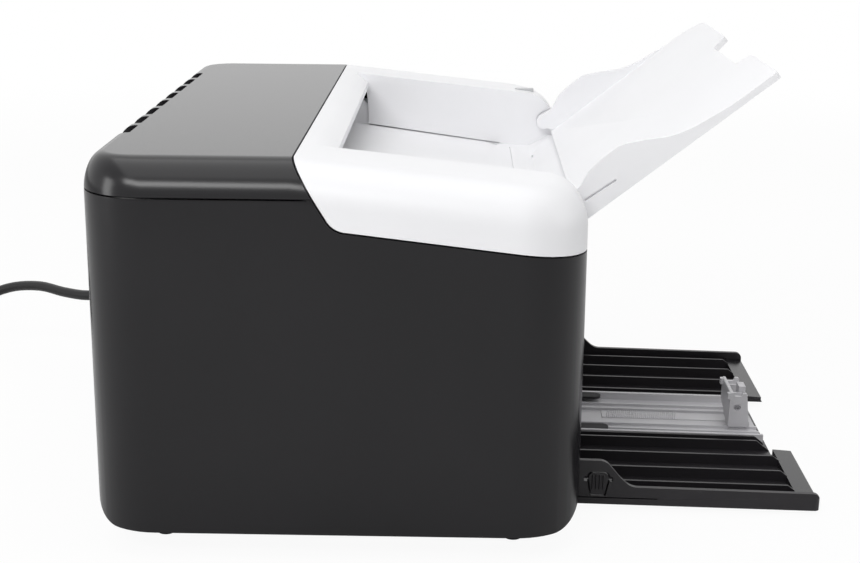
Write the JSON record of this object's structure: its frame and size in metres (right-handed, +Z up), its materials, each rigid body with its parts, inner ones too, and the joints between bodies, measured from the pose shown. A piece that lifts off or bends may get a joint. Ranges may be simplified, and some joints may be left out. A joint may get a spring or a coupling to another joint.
{
  "type": "laser printer",
  "caption": "Desktop laser printer with charcoal body, white output cover, open output flap and fold-down ribbed paper tray with sliding guides and a mains lead.",
  "frame": {"origin": "on the table, under the centre of the printer's bounding box with its tray and flap open and without its mains lead", "axes": "+Z up, -Y the front where the tray folds down, +X to the right when facing the front from behind the tray"},
  "size_m": [0.4883, 0.5764, 0.2108],
  "materials": {
    "charcoal_shell": "satin",
    "white_shell": "satin",
    "black_plastic": "satin",
    "grey_plastic": "satin",
    "cream_plastic": "satin",
    "brass": "polished",
    "steel": "satin",
    "zinc_sheet": "satin",
    "drum_coating": "gloss",
    "fuser_sleeve": "gloss",
    "roller_rubber": "matt",
    "black_rubber": "matt",
    "pad_cork": "matt",
    "circuit_board": "satin",
    "cord_jacket": "satin"
  },
  "bodies": {
    "body": {"main_housing": "charcoal_shell", "base_pan": "black_plastic", "foot_front_near": "black_rubber", "foot_front_far": "black_rubber", "foot_rear_near": "black_rubber", "foot_rear_far": "black_rubber", "top_cover": "charcoal_shell", "paper_bed": "black_plastic", "side_frame_near": "zinc_sheet", "side_frame_far": "zinc_sheet", "toner_cartridge": "black_plastic", "laser_scanner": "black_plastic", "fuser_frame": "zinc_sheet", "separation_pad": "pad_cork", "main_motor": "steel", "main_board": "circuit_board", "usb_socket": "steel", "strain_relief": "black_rubber", "power_cord": "cord_jacket", "cord_coil": "cord_jacket", "cord_tail": "cord_jacket", "cord_tie": "black_rubber", "plug_body": "black_plastic", "plug_pin_near": "brass", "plug_pin_far": "brass"},
    "output_lid": {"output_cover": "white_shell"},
    "flap": {"output_flap": "white_shell"},
    "button": {"power_button": "white_shell"},
    "tray": {"tray_door": "black_plastic", "guide_channel": "grey_plastic"},
    "latch_near": {"tray_latch_near": "black_plastic"},
    "latch_far": {"tray_latch_far": "black_plastic"},
    "tail_stop": {"end_guide": "grey_plastic"},
    "lever": {"guide_lever": "grey_plastic"},
    "guide_far": {"side_guide_far": "black_plastic"},
    "guide_near": {"side_guide_near": "black_plastic"},
    "pinion": {"guide_pinion": "grey_plastic"},
    "drum": {"photo_drum": "drum_coating", "drum_gear": "cream_plastic"},
    "drive_pinion": {"motor_pinion": "brass"},
    "pick": {"pick_roller": "roller_rubber"},
    "feed": {"feed_roller": "roller_rubber"},
    "feed_pinch": {"feed_pinch_roller": "grey_plastic"},
    "transfer": {"transfer_roller": "black_rubber"},
    "heat": {"heat_roller": "fuser_sleeve"},
    "pressure": {"pressure_roller": "fuser_sleeve"},
    "exit": {"exit_roller": "roller_rubber"},
    "exit_pinch": {"exit_pinch_roller": "grey_plastic"}
  },
  "joints": [
    {"name": "output_lid_open", "type": "hinge", "parent": "body", "child": "output_lid", "pos_m": [0, 0.0753, 0.178], "axis": [1, 0, 0], "range_deg": [-55, 0]},
    {"name": "flap_fold", "type": "hinge", "parent": "output_lid", "child": "flap", "pos_m": [0, -0.04382, 0.15015], "axis": [1, 0, 0], "range_deg": [-133.1, 0]},
    {"name": "power_press", "type": "slide", "parent": "output_lid", "child": "button", "axis": [0, 0, -1], "range_m": [0, 0.0008], "stiffness_N_per_m": 400},
    {"name": "tray_fold", "type": "hinge", "parent": "body", "child": "tray", "pos_m": [0, -0.0445, 0.0104], "axis": [1, 0, 0], "range_deg": [-91.1, 0]},
    {"name": "latch_near_press", "type": "slide", "parent": "tray", "child": "latch_near", "axis": [1, 0, 0], "range_m": [0, 0.0012], "stiffness_N_per_m": 600},
    {"name": "latch_far_press", "type": "slide", "parent": "tray", "child": "latch_far", "axis": [-1, 0, 0], "range_m": [0, 0.0012], "stiffness_N_per_m": 600},
    {"name": "tail_stop_slide", "type": "slide", "parent": "tray", "child": "tail_stop", "axis": [0, 0.9998, 0.0192], "range_m": [0, 0.06]},
    {"name": "lever_squeeze", "type": "hinge", "parent": "tail_stop", "child": "lever", "pos_m": [0, -0.14672, 0.01584], "axis": [1, 0, 0], "range_deg": [-10, 0], "stiffness_Nm_per_rad": 0.02},
    {"name": "side_guides_slide", "type": "slide", "parent": "body", "child": "guide_far", "axis": [-1, 0, 0], "range_m": [0, 0.055]},
    {"name": "side_guide_near_slide", "type": "slide", "parent": "body", "child": "guide_near", "axis": [1, 0, 0], "range_m": [0, 0.055]},
    {"name": "guide_pinion_turn", "type": "hinge", "parent": "body", "child": "pinion", "pos_m": [0, 0.0445, 0.0094], "axis": [0, 0, 1], "range_deg": [0, 394]},
    {"name": "drum_spin", "type": "hinge", "parent": "body", "child": "drum", "pos_m": [0, 0.129, 0.092], "axis": [1, 0, 0], "continuous": true},
    {"name": "drive_pinion_spin", "type": "hinge", "parent": "body", "child": "drive_pinion", "pos_m": [0, 0.09, 0.08311], "axis": [1, 0, 0], "continuous": true},
    {"name": "pick_spin", "type": "hinge", "parent": "body", "child": "pick", "pos_m": [0, 0.1337, 0.033], "axis": [1, 0, 0], "continuous": true},
    {"name": "feed_spin", "type": "hinge", "parent": "body", "child": "feed", "pos_m": [0, 0.1455, 0.066], "axis": [1, 0, 0], "continuous": true},
    {"name": "feed_pinch_spin", "type": "hinge", "parent": "body", "child": "feed_pinch", "pos_m": [0, 0.1561, 0.066], "axis": [1, 0, 0], "continuous": true},
    {"name": "transfer_spin", "type": "hinge", "parent": "body", "child": "transfer", "pos_m": [0, 0.1483, 0.092], "axis": [1, 0, 0], "continuous": true},
    {"name": "heat_spin", "type": "hinge", "parent": "body", "child": "heat", "pos_m": [0, 0.1335, 0.134], "axis": [1, 0, 0], "continuous": true},
    {"name": "pressure_spin", "type": "hinge", "parent": "body", "child": "pressure", "pos_m": [0, 0.1518, 0.134], "axis": [1, 0, 0], "continuous": true},
    {"name": "exit_spin", "type": "hinge", "parent": "body", "child": "exit", "pos_m": [0, 0.083, 0.1457], "axis": [1, 0, 0], "continuous": true},
    {"name": "exit_pinch_spin", "type": "hinge", "parent": "body", "child": "exit_pinch", "pos_m": [0, 0.083, 0.1551], "axis": [1, 0, 0], "continuous": true}
  ],
  "couplings": [
    {"joint": "side_guide_near_slide", "follows": "side_guides_slide", "ratio": 1},
    {"joint": "guide_pinion_turn", "follows": "side_guides_slide", "rad_per_m": 125},
    {"joint": "drive_pinion_spin", "follows": "drum_spin", "ratio": -3},
    {"joint": "pick_spin", "follows": "drum_spin", "ratio": 0.8},
    {"joint": "feed_spin", "follows": "drum_spin", "ratio": 1.7143},
    {"joint": "feed_pinch_spin", "follows": "drum_spin", "ratio": -3.6364},
    {"joint": "transfer_spin", "follows": "drum_spin", "ratio": -1.7143},
    {"joint": "heat_spin", "follows": "drum_spin", "ratio": 1.3333},
    {"joint": "pressure_spin", "follows": "drum_spin", "ratio": -1.3333},
    {"joint": "exit_spin", "follows": "drum_spin", "ratio": 2.1818},
    {"joint": "exit_pinch_spin", "follows": "drum_spin", "ratio": -3.6364}
  ]
}
